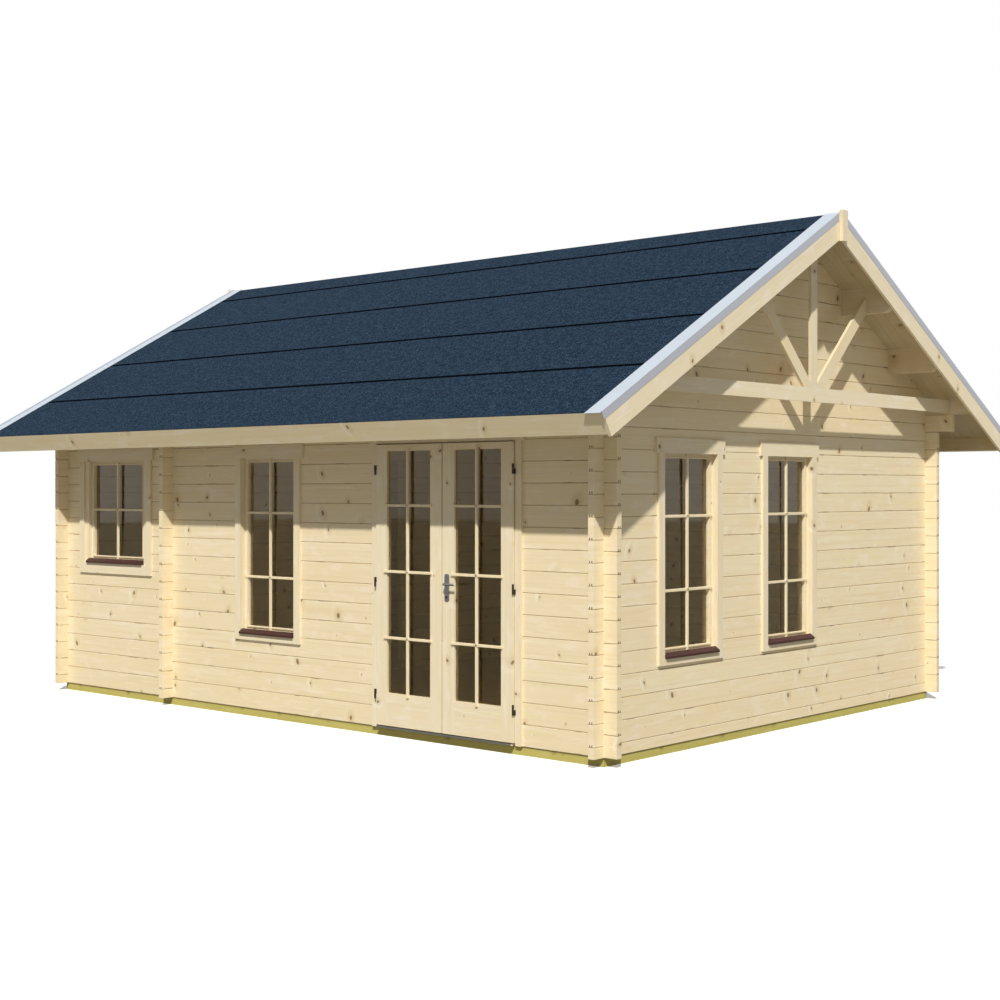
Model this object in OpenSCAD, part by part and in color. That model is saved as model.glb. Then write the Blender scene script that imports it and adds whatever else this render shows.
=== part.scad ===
// Summer house of interlocking logs with a felted gable roof, a truss on the right gable,
// four barred windows and a glazed double door. The origin is on the ground under the middle
// of the house; +X runs along the front wall to the right gable, +Y runs to the back.

/* [Walls] */
// Length of the front wall between the outer faces of the gable walls
house_len = 5780; // [5600:10:6200]
// Width of the gable walls between the outer faces of the long walls
house_dep = 4300; // [4100:10:4600]
// Thickness of the wall logs
log_t = 45; // [40:1:50]
// Height of one log course
course_h = 140; // [136:1:146]
// Courses of the long walls, the bevelled eave log included
courses = 17; // [17:1:18]
// How far the log ends run past the corners
log_out = 100; // [70:1:130]
// How far the top wall logs run past the gables to carry the eave logs
corbel_out = 232; // [180:1:300]
// Depth of the V grooves at the log joints
groove = 4; // [2:0.5:7]
// Middle of the partition wall, from the outer face of the left gable
partition_at = 1467; // [1440:1:1500]
// Width of the doorway through the partition
inner_door_w = 800; // [700:10:900]
// Height of the logs over the doorway through the partition
inner_head_h = 280; // [240:10:330]

/* [Base] */
// Height of the foundation beams
beam_h = 60; // [45:1:80]
// Width of the foundation beams
beam_w = 95; // [85:1:110]
// How far the foundation beams stand back from the wall faces
beam_back = 8; // [0:1:15]
// Thickness of the floor boards
floor_t = 18; // [14:1:24]

/* [Roof] */
// Pitch of the roof in degrees
pitch = 28.8; // [27:0.1:30]
// Overhang of the roof boards past the long walls, level
eave_out = 520; // [480:1:560]
// Overhang of the roof boards past the gable walls
gable_out = 400; // [360:1:440]
// Thickness of the roof boards
deck_t = 19; // [16:1:24]
// Thickness of the roofing felt
felt_t = 4; // [3:0.5:6]
// Width of the eave fascias
fascia_w = 140; // [130:1:150]
// Thickness of the eave fascias
fascia_t = 20; // [16:1:24]
// Depth of the bargeboards below the roof boards' underside, square to the slope
barge_drop = 135; // [120:1:150]
// Thickness of the bargeboards
barge_t = 20; // [16:1:24]
// Width of the verge trims over the felt
verge_w = 132; // [110:1:150]
// Depth of the verge trims down the bargeboards
verge_drop = 40; // [30:1:50]
// Thickness of the verge trims
verge_t = 2; // [1.5:0.5:3]
// Height of the lip along the verge trims
lip_h = 10; // [6:1:14]
// Width of the lip along the verge trims
lip_w = 10; // [6:1:14]
// How far the verge trims run past the fascias
verge_past = 15; // [5:1:20]
// Width of the boards that cover the bargeboards' joint
cover_w = 65; // [55:1:75]
// Thickness of the boards that cover the bargeboards' joint
cover_t = 30; // [24:1:36]
// Length of the boards that cover the bargeboards' joint
cover_l = 215; // [200:1:230]

/* [Purlins] */
// Width of the purlins
purlin_w = 58; // [50:1:66]
// Height of the purlins at their middle
purlin_h = 175; // [160:1:190]
// Middle of the upper purlins, from the ridge
upper_at = 775; // [740:1:810]
// Middle of the lower purlins, from the ridge
lower_at = 1495; // [1450:1:1540]
// Radius of the rounded corner under the purlin ends
purlin_r = 60; // [40:1:80]

/* [Truss] */
// Distance of the truss face from the gable wall
truss_out = 205; // [170:1:240]
// Thickness of the truss boards
truss_t = 22; // [18:1:28]
// Height of the tie beam
tie_h = 100; // [90:1:105]
// Height of the tie beam above the foot of the eave logs
tie_up = 14; // [8:1:16]
// Width of the king post
king_w = 84; // [74:1:94]
// Width of the struts
strut_w = 90; // [80:1:96]
// Distance of the struts' lower edges from the king post, along the tie beam
strut_foot = 93; // [85:1:100]

/* [Windows] */
// Height of the tops of the window openings above the log base
win_top = 1900; // [1870:1:1930]
// Width of the tall windows' openings in the logs
tall_w = 670; // [640:1:700]
// Height of the tall windows' openings in the logs
tall_h = 1344; // [1310:1:1380]
// Width of the tall windows' frame sides
tall_frame_w = 35; // [30:1:40]
// Width of the low window's opening in the logs
low_w = 926; // [890:1:950]
// Height of the low window's opening in the logs
low_h = 870; // [840:1:900]
// Width of the low window's frame sides
low_frame_w = 84; // [76:1:92]
// Middle of the low window, from the outer face of the left gable
low_at = 728; // [712:1:745]
// Middle of the first gable window, from the front wall
gable_at_1 = 917; // [880:1:950]
// Middle of the second gable window, from the front wall
gable_at_2 = 2147; // [2100:1:2200]
// Depth of the window frames through the wall
frame_d = 72; // [70:1:80]
// Height of the frames' top and bottom rails
frame_rail = 18; // [15:1:22]
// Width of the sash members
sash_w = 42; // [36:1:48]
// Thickness of the sashes
sash_t = 40; // [34:1:44]
// Depth of the sash faces behind the wall face
sash_back = 28; // [22:1:30]
// Depth of the glass behind the sash faces
glass_back = 18; // [14:1:22]
// Thickness of the glass
glass_t = 4; // [3:0.5:6]
// Height of the sills at the frames
sill_h = 38; // [32:1:44]
// Height of the sills' front edges
sill_nose = 14; // [10:1:20]
// Projection of the sills from the wall
sill_out = 35; // [28:1:42]

/* [Casings] */
// Thickness of the casing boards
casing_t = 18; // [14:1:20]
// Width of the window casings
casing_w = 62; // [54:1:70]
// How far the window casings lap over the frames
casing_lap = 33; // [26:1:40]
// Height of the head boards
head_h = 98; // [90:1:106]
// How far the window head boards lap over the frames
head_lap = 28; // [20:1:34]
// How far the head boards run past the side casings
head_past = 27; // [18:1:36]
// Height of the boards under the tall windows
tall_foot_h = 43; // [38:1:50]
// Height of the board under the low window
low_foot_h = 84; // [74:1:92]

/* [Door] */
// Middle of the double door, from the outer face of the right gable
door_at = 1334; // [1300:1:1370]
// Width of one door leaf
leaf_w = 622; // [600:1:640]
// Thickness of the door leaves
leaf_t = 42; // [38:1:46]
// How far the leaves stand proud of the wall face
leaf_proud = 30; // [26:1:34]
// Gap between the leaves where they meet
meeting_gap = 10; // [8:1:12]
// Gap between a leaf and the door frame at its side
side_gap = 5.5; // [5:0.5:7]
// Gap between the leaves' tops and the fascia above their swing
swing_gap = 8; // [6:1:12]
// Gap between the leaves and the frame's head, stops and threshold
rest_gap = 8; // [6:0.5:10]
// Width of the leaf stiles
stile_w = 105; // [98:1:112]
// Height of the leaf top rails
top_rail = 45; // [40:1:60]
// Height of the leaf bottom rails
bottom_rail = 225; // [210:1:240]
// Depth of the leaf glass behind the leaf faces
leaf_glass_back = 18; // [14:1:22]
// Width of the door frame members
jamb_w = 47; // [42:1:52]
// Depth of the door frame through the wall
jamb_d = 64; // [60:1:70]
// Width of the stops on the door frame
stop_w = 17; // [12:1:22]
// Width of the door's side casings
door_casing_w = 49; // [44:1:54]
// Thickness of the threshold
threshold_t = 10; // [8:1:14]
// Projection of the threshold from the wall
threshold_out = 40; // [34:1:50]

/* [Hinges and handle] */
// Radius of the hinge knuckles
knuckle_r = 7; // [6:0.5:8]
// Height of one hinge
hinge_h = 66; // [56:1:76]
// Radius of the hinge pins
pin_r = 3; // [2:0.5:4]
// Clearance around the hinge pins
pin_clear = 0.5; // [0.4:0.1:0.8]
// Gap between the two halves of a hinge, and between a knuckle and its leaf
knuckle_gap = 1; // [0.8:0.1:1.6]
// Width of the hinge plates
plate_w = 5; // [4:0.5:8]
// Thickness of the hinge plates
plate_t = 3; // [2:0.5:4]
// Width of the lock plate
lock_w = 40; // [34:1:46]
// Height of the lock plate
lock_h = 182; // [160:1:200]
// Thickness of the lock plate
lock_t = 7; // [5:1:9]
// Middle of the lock plate above the log base
lock_z = 988; // [950:1:1010]
// Middle of the lock plate, from the meeting edge of its leaf
lock_in = 42; // [36:1:52]
// Height of the lever above the lock plate's middle
lever_up = 24; // [10:1:40]
// Length of the lever
lever_l = 105; // [90:1:120]
// Radius of the lever and its neck
lever_r = 8; // [6:0.5:10]
// Distance of the lever's middle from the lock plate
lever_out = 38; // [30:1:46]

/* [Hidden] */
$fn = 48;
// Overrun of a cut past the face that it opens
over = 2;
// Gap left between layers that lie on the slope of the roof
lay_gap = 0.05;

log_colour = [0.90, 0.83, 0.66];
trim_colour = [0.92, 0.86, 0.70];
felt_colour = [0.17, 0.24, 0.33];
zinc_colour = [0.80, 0.83, 0.87];
treated_colour = [0.66, 0.63, 0.32];
sill_colour = [0.32, 0.20, 0.17];
steel_colour = [0.62, 0.62, 0.63];
iron_colour = [0.16, 0.13, 0.11];
glass_colour = [0.35, 0.36, 0.34];

// Plan and heights of the walls
half_l = house_len / 2;
half_d = house_dep / 2;
inner_y = half_d - log_t;
base_z = beam_h;
corbel_z = base_z + (courses - 2) * course_h;
eave_z = corbel_z + course_h;
partition_x = partition_at - half_l;
cross_xs = [log_t / 2 - half_l, partition_x, half_l - log_t / 2];
cross_first = base_z - course_h / 2;
cross_top = cross_first + (courses - 1) * course_h;
inner_door_top = cross_top - inner_head_h;

// Underside of the roof boards, which rest on the inner top edge of the eave logs
ridge_z = eave_z + course_h + inner_y * tan(pitch);
slope_l = (half_d + eave_out) / cos(pitch);
cover_n = deck_t + felt_t;
end_s = slope_l + fascia_t;
barge_x = half_l + gable_out;
barge_face = barge_x + barge_t;
purlin_ys = [-lower_at, -upper_at, 0, upper_at, lower_at];

// Door: the leaves pass under the fascia when they swing out
fascia_foot = ridge_z - end_s * sin(pitch) - (fascia_w - deck_t) * cos(pitch);
leaf_top = fascia_foot - swing_gap;
leaf_foot = base_z + threshold_t + rest_gap;
door_x = half_l - door_at;
door_half = meeting_gap / 2 + leaf_w + side_gap;
door_hole = door_half + jamb_w;
head_z = leaf_top + rest_gap;
door_hole_top = head_z + jamb_w;
leaf_face = -leaf_proud;
leaf_back = leaf_face + leaf_t;
stop_y = leaf_back + rest_gap;
knuckle_x = meeting_gap / 2 + leaf_w + side_gap / 2;
knuckle_y = leaf_face - knuckle_r;
hinge_shares = [0.11, 0.51, 0.91];

// Windows: [middle, opening width, opening height, glass width, foot board height]
low_x = low_at - half_l;
low_glass_w = low_w - 2 * (low_frame_w + sash_w);
tall_glass_w = tall_w - 2 * (tall_frame_w + sash_w);
tall_x = (partition_x + door_x - meeting_gap / 2 - leaf_w) / 2;
low_window = [low_x, low_w, low_h, low_glass_w, low_foot_h];
tall_window = [tall_x, tall_w, tall_h, tall_glass_w, tall_foot_h];
front_windows = [low_window, tall_window];
gable_windows = [for (at = [gable_at_1, gable_at_2])
    [at - half_d, tall_w, tall_h, tall_glass_w, tall_foot_h]];

// A box between its lowest and highest corners
module block(low, high) {
    translate(low) cube(high - low);
}

// An outline in Y and Z carried along X, and one in X and Z carried along Y
module along_x(x0, x1) {
    translate([x0, 0, 0]) rotate([90, 0, 90]) linear_extrude(x1 - x0) children();
}
module along_y(y0, y1) {
    translate([0, y1, 0]) rotate([90, 0, 0]) linear_extrude(y1 - y0) children();
}

// The children at the front and again at the back, or at the right and again at the left
module at_back() { mirror([0, 1, 0]) children(); }
module front_and_back() { children(); at_back() children(); }
module both_ends() { children(); mirror([1, 0, 0]) children(); }

// Levels of the log joints between z0 and z1
function joints(z0, z1, first) = [for (k = [0 : courses * 2])
    let (z = first + k * course_h) if (z > z0 + groove && z < z1 - groove) z];
function grooves_up(u, zs) = [for (z = zs) each
    [[u, z - groove], [u + groove, z], [u, z + groove]]];
function grooves_down(u, zs) = [for (k = [1 : len(zs)]) let (z = zs[len(zs) - k]) each
    [[u, z + groove], [u - groove, z], [u, z - groove]]];

// Section of a stack of logs, u0 to u1 across, with V grooves at the joints on both faces
module log_section(u0, u1, z0, z1, first) {
    zs = joints(z0, z1, first);
    polygon(concat([[u0, z0]], grooves_up(u0, zs), [[u0, z1], [u1, z1]],
        len(zs) > 0 ? grooves_down(u1, zs) : [], [[u1, z0]]));
}

// Logs of a long wall with its lower Y face at y0, and of a cross wall with its lower X face at x0
module long_logs(x0, x1, y0, z0, z1) {
    along_x(x0, x1) log_section(y0, y0 + log_t, z0, z1, base_z);
}
module cross_logs(x0, y0, y1, z0, z1) {
    along_y(y0, y1) log_section(x0, x0 + log_t, z0, z1, cross_first);
}

// V grooves across the end faces of a long wall's logs at the right end
module end_grooves(y0, z0, z1) {
    end_x = half_l + log_out;
    for (z = joints(z0, z1, base_z)) along_y(y0 - over, y0 + log_t + over)
        polygon([[end_x - groove, z], [end_x + over, z - groove - over],
            [end_x + over, z + groove + over]]);
}

// A point s down the front slope from the ridge, n above the underside of the roof boards
function roof_at(s, n) = [-s * cos(pitch) - n * sin(pitch),
    ridge_z - s * sin(pitch) + n * cos(pitch)];
// A layer of the front slope from n0 to n1, plumb at the ridge and square at the eave
module slope_layer(n0, n1, s1) {
    polygon([roof_at(-n0 * tan(pitch), n0), roof_at(s1, n0), roof_at(s1, n1),
        roof_at(-n1 * tan(pitch), n1)]);
}
function roof_under(y) = ridge_z - abs(y) * tan(pitch);

module foundation_long_beams() {
    y0 = beam_back - half_d;
    end_x = half_l - beam_back;
    color(treated_colour) front_and_back()
        block([-end_x, y0, 0], [end_x, y0 + beam_w, beam_h]);
}

module foundation_cross_beams() {
    end_y = half_d - beam_back - beam_w;
    end_x = half_l - beam_back;
    color(treated_colour) {
        both_ends() block([end_x - beam_w, -end_y, 0], [end_x, end_y, beam_h]);
        block([partition_x - beam_w / 2, -end_y, 0], [partition_x + beam_w / 2, end_y, beam_h]);
    }
}

// Floors of the two rooms, clear of the door frame on every side
module floor_boards() {
    inset = jamb_d - log_t;
    color(trim_colour) for (k = [0, 1])
        block([cross_xs[k] + log_t / 2 + inset, inset - inner_y, base_z],
            [cross_xs[k + 1] - log_t / 2 - inset, inner_y - inset, base_z + floor_t]);
}

// Front wall between the openings, from the left log ends to the right ones
module front_wall_beside_openings() {
    end_x = half_l + log_out;
    edges = [-end_x, low_x - low_w / 2, low_x + low_w / 2, tall_x - tall_w / 2,
        tall_x + tall_w / 2, door_x - door_hole, door_x + door_hole, end_x];
    color(log_colour) difference() {
        for (k = [0 : 2 : 6]) long_logs(edges[k], edges[k + 1], -half_d, base_z, corbel_z);
        both_ends() end_grooves(-half_d, base_z, corbel_z);
    }
}

module front_wall_below_windows() {
    color(log_colour) for (w = front_windows)
        long_logs(w[0] - w[1] / 2, w[0] + w[1] / 2, -half_d, base_z, base_z + win_top - w[2]);
}

module front_wall_over_openings() {
    color(log_colour) {
        for (w = front_windows) long_logs(w[0] - w[1] / 2, w[0] + w[1] / 2, -half_d,
            base_z + win_top, corbel_z);
        long_logs(door_x - door_hole, door_x + door_hole, -half_d, door_hole_top, corbel_z);
    }
}

module back_wall() {
    end_x = half_l + log_out;
    color(log_colour) difference() {
        long_logs(-end_x, end_x, inner_y, base_z, corbel_z);
        both_ends() end_grooves(inner_y, base_z, corbel_z);
    }
}

// Longer logs on top of the long walls, under the eave logs
module top_wall_logs() {
    end_x = half_l + corbel_out;
    color(log_colour) front_and_back()
        block([-end_x, -half_d, corbel_z], [end_x, -inner_y, eave_z]);
}

// A gable between the long walls from z0 up to the roof, with seats for the purlins
module gable_logs(x0, z0) {
    difference() {
        intersection() {
            cross_logs(x0, -inner_y, inner_y, z0, ridge_z + over);
            along_x(x0 - over, x0 + log_t + over)
                polygon([[-inner_y, z0], [inner_y, z0], [inner_y, roof_under(inner_y)],
                    [0, ridge_z], [-inner_y, roof_under(inner_y)]]);
        }
        for (y = purlin_ys)
            block([x0 - over, y - purlin_w / 2, roof_under(y) - purlin_h],
                [x0 + log_t + over, y + purlin_w / 2, ridge_z + over]);
    }
}

module left_gable_wall() {
    color(log_colour) gable_logs(-half_l, base_z);
}

module right_gable_over_windows() {
    color(log_colour) gable_logs(half_l - log_t, base_z + win_top);
}

module right_gable_beside_windows() {
    edges = concat([-inner_y], [for (w = gable_windows) each
        [w[0] - w[1] / 2, w[0] + w[1] / 2]], [inner_y]);
    color(log_colour) for (k = [0 : 2 : 4])
        cross_logs(half_l - log_t, edges[k], edges[k + 1], base_z, base_z + win_top);
}

module right_gable_below_windows() {
    color(log_colour) for (w = gable_windows)
        cross_logs(half_l - log_t, w[0] - w[1] / 2, w[0] + w[1] / 2,
            base_z, base_z + win_top - w[2]);
}

module partition_beside_doorway() {
    color(log_colour) front_and_back() cross_logs(partition_x - log_t / 2,
        -inner_y, -inner_door_w / 2, base_z, inner_door_top);
}

module partition_over_doorway() {
    color(log_colour) cross_logs(partition_x - log_t / 2, -inner_y, inner_y,
        inner_door_top, cross_top);
}

// Ends of the cross walls' logs outside the long walls
module cross_log_ends() {
    end_y = half_d + log_out;
    color(log_colour) front_and_back() for (x = cross_xs) difference() {
        cross_logs(x - log_t / 2, -end_y, -half_d, base_z, cross_top);
        for (z = joints(base_z, cross_top, cross_first))
            along_x(x - log_t / 2 - over, x + log_t / 2 + over)
                polygon([[groove - end_y, z], [-end_y - over, z + groove + over],
                    [-end_y - over, z - groove - over]]);
    }
}

// Waste under the right end of a purlin whose underside is at z, outside its rounded corner
module purlin_waste(y, z) {
    mid_x = barge_x - purlin_r;
    difference() {
        block([mid_x, y - purlin_w / 2 - over, z - over],
            [barge_x + over, y + purlin_w / 2 + over, z + purlin_r]);
        translate([mid_x, y, z + purlin_r]) rotate([90, 0, 0])
            cylinder(r = purlin_r, h = purlin_w + 4 * over, center = true);
    }
}

// Ridge purlin, side purlins and the bevelled eave logs
module purlins() {
    color(log_colour) {
        for (y = purlin_ys) difference() {
            y0 = y - purlin_w / 2;
            y1 = y + purlin_w / 2;
            z0 = roof_under(y) - purlin_h;
            along_x(-barge_x, barge_x) polygon(concat([[y0, z0], [y1, z0], [y1, roof_under(y1)]],
                y == 0 ? [[0, ridge_z]] : [], [[y0, roof_under(y0)]]));
            both_ends() purlin_waste(y, z0);
        }
        front_and_back() along_x(-barge_x, barge_x)
            polygon([[-half_d, eave_z], [-inner_y, eave_z], [-inner_y, roof_under(inner_y)],
                [-half_d, roof_under(half_d)]]);
    }
}

module front_roof_boards() {
    color(trim_colour) along_x(-barge_x, barge_x) slope_layer(lay_gap, deck_t, slope_l);
}

module back_roof_boards() {
    at_back() front_roof_boards();
}

module front_roof_felt() {
    color(felt_colour) along_x(-barge_face, barge_face) slope_layer(deck_t + lay_gap, cover_n, end_s);
}

module back_roof_felt() {
    at_back() front_roof_felt();
}

module eave_fascias() {
    foot_n = deck_t - fascia_w;
    color(trim_colour) front_and_back() along_x(-barge_x, barge_x)
        polygon([roof_at(slope_l + lay_gap, foot_n), roof_at(end_s, foot_n),
            roof_at(end_s, deck_t), roof_at(slope_l + lay_gap, deck_t)]);
}

module front_bargeboards() {
    color(trim_colour) both_ends() along_x(barge_x, barge_face)
        slope_layer(-barge_drop, deck_t, end_s);
}

module back_bargeboards() {
    at_back() front_bargeboards();
}

// Metal trim over the verge: a strip on the felt, a lip and a flange down the bargeboard
module front_verge_trims() {
    trim_s = end_s + verge_past;
    edge = barge_face + verge_t;
    color(zinc_colour) both_ends() {
        along_x(edge - verge_w, edge) slope_layer(cover_n + lay_gap, cover_n + verge_t, trim_s);
        along_x(edge - lip_w, edge) slope_layer(cover_n + lay_gap, cover_n + lip_h, trim_s);
        along_x(barge_face, edge) slope_layer(cover_n - verge_drop, cover_n + lip_h, trim_s);
    }
}

module back_verge_trims() {
    at_back() front_verge_trims();
}

// Boards that cover the joint of the bargeboards at the apex
module apex_covers() {
    top = ridge_z + (cover_n + lip_h) / cos(pitch);
    face = barge_face + verge_t;
    color(trim_colour) both_ends()
        block([face, -cover_w / 2, top - cover_l], [face + cover_t, cover_w / 2, top]);
}

tie_top = eave_z + tie_up + tie_h;
truss_face = half_l + truss_out;

module truss_tie_beam() {
    color(trim_colour) block([truss_face - truss_t, -inner_y, eave_z + tie_up],
        [truss_face, inner_y, tie_top]);
}

module truss_king_post() {
    color(trim_colour) block([truss_face - truss_t, -king_w / 2, tie_top],
        [truss_face, king_w / 2, ridge_z - purlin_h]);
}

// Struts from the foot of the king post to the lower inner edges of the upper purlins
module truss_struts() {
    foot_y = king_w / 2 + strut_foot;
    seat_y = upper_at - purlin_w / 2;
    seat_z = roof_under(upper_at) - purlin_h;
    lean = atan((seat_z - tie_top) / (seat_y - foot_y));
    head = seat_z + strut_w / cos(lean);
    color(trim_colour) front_and_back() along_x(truss_face - truss_t, truss_face)
        polygon([[-foot_y, tie_top], [-seat_y, seat_z], [-seat_y, head],
            [-king_w / 2, head - (seat_y - king_w / 2) * tan(lean)], [-king_w / 2, tie_top]]);
}

// Places of the windows: X along the wall, Y into the wall from its face, Z from the log base
module at_windows() {
    for (w = front_windows) {
        $window = w;
        translate([w[0], -half_d, base_z]) children();
    }
    for (w = gable_windows) {
        $window = w;
        translate([half_l, w[0], base_z]) rotate([0, 0, 90]) children();
    }
}

module window_frame_sides() {
    color(trim_colour) at_windows() both_ends() {
        foot = win_top - $window[2];
        block([$window[3] / 2 + sash_w, 0, foot], [$window[1] / 2, frame_d, win_top]);
    }
}

module window_frame_rails() {
    color(trim_colour) at_windows() {
        half = $window[3] / 2 + sash_w;
        foot = win_top - $window[2];
        block([-half, 0, foot], [half, frame_d, foot + frame_rail]);
        block([-half, 0, win_top - frame_rail], [half, frame_d, win_top]);
    }
}

module window_sashes() {
    color(trim_colour) at_windows() {
        half = $window[3] / 2;
        foot = win_top - $window[2] + frame_rail;
        top = win_top - frame_rail;
        difference() {
            block([-half - sash_w, sash_back, foot], [half + sash_w, sash_back + sash_t, top]);
            block([-half, sash_back - over, foot + sash_w],
                [half, sash_back + sash_t + over, top - sash_w]);
        }
    }
}

module window_glass() {
    y0 = sash_back + glass_back;
    color(glass_colour) at_windows()
        block([-$window[3] / 2, y0, win_top - $window[2] + frame_rail + sash_w],
            [$window[3] / 2, y0 + glass_t, win_top - frame_rail - sash_w]);
}

module window_sills() {
    color(sill_colour) at_windows() {
        half = $window[3] / 2 + sash_w;
        foot = win_top - $window[2];
        along_x(-half, half) polygon([[0, foot], [0, foot + sill_h],
            [-sill_out, foot + sill_nose], [-sill_out, foot]]);
    }
}

// Side casings of the windows and the door
module casing_side_boards() {
    color(trim_colour) {
        at_windows() both_ends() {
            x0 = $window[1] / 2 - casing_lap;
            block([x0, -casing_t, win_top - $window[2] - $window[4]],
                [x0 + casing_w, 0, win_top - head_lap]);
        }
        translate([door_x, -half_d, 0]) both_ends()
            block([door_half, -casing_t, base_z], [door_half + door_casing_w, 0, head_z]);
    }
}

// Head boards of the windows and the door, and the boards under the window sills
module casing_cross_boards() {
    door_head = door_half + door_casing_w + head_past;
    color(trim_colour) {
        at_windows() {
            half = $window[1] / 2 - casing_lap;
            head = half + casing_w + head_past;
            foot = win_top - $window[2];
            block([-half, -casing_t, foot - $window[4]], [half, 0, foot]);
            block([-head, -casing_t, win_top - head_lap],
                [head, 0, win_top - head_lap + head_h]);
        }
        translate([door_x, -half_d, 0]) block([-door_head, -casing_t, head_z],
            [door_head, 0, head_z + head_h]);
    }
}

// Rebated sides of the door frame
module door_frame_sides() {
    color(trim_colour) translate([door_x, -half_d, base_z]) both_ends()
        linear_extrude(door_hole_top - base_z)
            polygon([[door_half, 0], [door_hole, 0], [door_hole, jamb_d],
                [door_half - stop_w, jamb_d], [door_half - stop_w, stop_y], [door_half, stop_y]]);
}

// Rebated head of the door frame, and the threshold
module door_frame_crosspieces() {
    head_half = door_half - stop_w;
    color(trim_colour) translate([door_x, -half_d, 0]) {
        along_x(-head_half, head_half)
            polygon([[0, head_z], [stop_y, head_z], [stop_y, head_z - stop_w],
                [jamb_d, head_z - stop_w], [jamb_d, door_hole_top], [0, door_hole_top]]);
        block([-head_half, -threshold_out, base_z], [head_half, jamb_d, base_z + threshold_t]);
    }
}

// Places of the hinges on the right side of the doorway: middle of each knuckle
module at_hinges() {
    for (share = hinge_shares) translate([knuckle_x, knuckle_y,
        leaf_foot + share * (leaf_top - leaf_foot)]) children();
}

// Lower halves of the hinges on the casing, with the pins
module door_hinge_plates() {
    color(iron_colour) translate([door_x, -half_d, 0]) both_ends() at_hinges() {
        translate([0, 0, -hinge_h / 2]) cylinder(r = knuckle_r, h = (hinge_h - knuckle_gap) / 2);
        translate([0, 0, -knuckle_r]) cylinder(r = pin_r, h = hinge_h / 2);
        block([side_gap / 2, 0, -hinge_h / 2],
            [side_gap / 2 + plate_t, -casing_t - knuckle_y, -knuckle_gap / 2]);
        block([side_gap / 2, -casing_t - plate_t - knuckle_y, -hinge_h / 2],
            [side_gap / 2 + plate_w, -casing_t - knuckle_y, -knuckle_gap / 2]);
    }
}

// One leaf, with its meeting edge towards the middle of the doorway and its hinges at +X
module leaf_stiles() {
    x0 = meeting_gap / 2;
    color(trim_colour) for (x = [x0, x0 + leaf_w - stile_w])
        block([x, leaf_face, leaf_foot], [x + stile_w, leaf_back, leaf_top]);
}

module leaf_rails() {
    x0 = meeting_gap / 2 + stile_w;
    x1 = meeting_gap / 2 + leaf_w - stile_w;
    color(trim_colour) {
        block([x0, leaf_face, leaf_foot], [x1, leaf_back, leaf_foot + bottom_rail]);
        block([x0, leaf_face, leaf_top - top_rail], [x1, leaf_back, leaf_top]);
    }
}

module leaf_glass() {
    y0 = leaf_face + leaf_glass_back;
    color(glass_colour) block([meeting_gap / 2 + stile_w, y0, leaf_foot + bottom_rail],
        [meeting_gap / 2 + leaf_w - stile_w, y0 + glass_t, leaf_top - top_rail]);
}

// Upper halves of the hinges, on the face of the leaf
module leaf_hinges() {
    edge = side_gap / 2;
    color(iron_colour) at_hinges() difference() {
        union() {
            translate([0, 0, knuckle_gap / 2])
                cylinder(r = knuckle_r, h = (hinge_h - knuckle_gap) / 2);
            block([-edge - plate_w, knuckle_r - plate_t, knuckle_gap / 2],
                [-edge, knuckle_r, hinge_h / 2]);
        }
        translate([0, 0, -over]) cylinder(r = pin_r + pin_clear, h = hinge_h / 2);
    }
}

module at_right_leaf() { translate([door_x, -half_d, 0]) children(); }
module at_left_leaf() { translate([door_x, -half_d, 0]) mirror([1, 0, 0]) children(); }

module left_door_stiles() { at_left_leaf() leaf_stiles(); }
module left_door_rails() { at_left_leaf() leaf_rails(); }
module left_door_glass() { at_left_leaf() leaf_glass(); }
module left_door_hinges() { at_left_leaf() leaf_hinges(); }
module right_door_stiles() { at_right_leaf() leaf_stiles(); }
module right_door_rails() { at_right_leaf() leaf_rails(); }
module right_door_glass() { at_right_leaf() leaf_glass(); }
module right_door_hinges() { at_right_leaf() leaf_hinges(); }

// Lock plate with a lever on the right leaf
module right_door_handle() {
    color(steel_colour) at_right_leaf()
        translate([meeting_gap / 2 + lock_in, leaf_face, base_z + lock_z]) {
            block([-lock_w / 2, -lock_t, -lock_h / 2], [lock_w / 2, 0, lock_h / 2]);
            translate([0, -lock_t / 2, lever_up]) rotate([90, 0, 0])
                cylinder(r = lever_r, h = lock_t / 2 + lever_out + lever_r);
            translate([0, -lock_t - lever_out, lever_up]) rotate([0, 90, 0])
                cylinder(r = lever_r, h = lever_l);
        }
}

foundation_long_beams();
foundation_cross_beams();
floor_boards();
front_wall_beside_openings();
front_wall_below_windows();
front_wall_over_openings();
back_wall();
top_wall_logs();
left_gable_wall();
right_gable_beside_windows();
right_gable_below_windows();
right_gable_over_windows();
partition_beside_doorway();
partition_over_doorway();
cross_log_ends();
purlins();
front_roof_boards();
back_roof_boards();
front_roof_felt();
back_roof_felt();
eave_fascias();
front_bargeboards();
back_bargeboards();
front_verge_trims();
back_verge_trims();
apex_covers();
truss_tie_beam();
truss_king_post();
truss_struts();
window_frame_sides();
window_frame_rails();
window_sashes();
window_glass();
window_sills();
casing_side_boards();
casing_cross_boards();
door_frame_sides();
door_frame_crosspieces();
door_hinge_plates();
left_door_stiles();
left_door_rails();
left_door_glass();
left_door_hinges();
right_door_stiles();
right_door_rails();
right_door_glass();
right_door_hinges();
right_door_handle();
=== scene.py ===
"""Looks of the log summer house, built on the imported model, in metres and in its frame."""
import math

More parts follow.
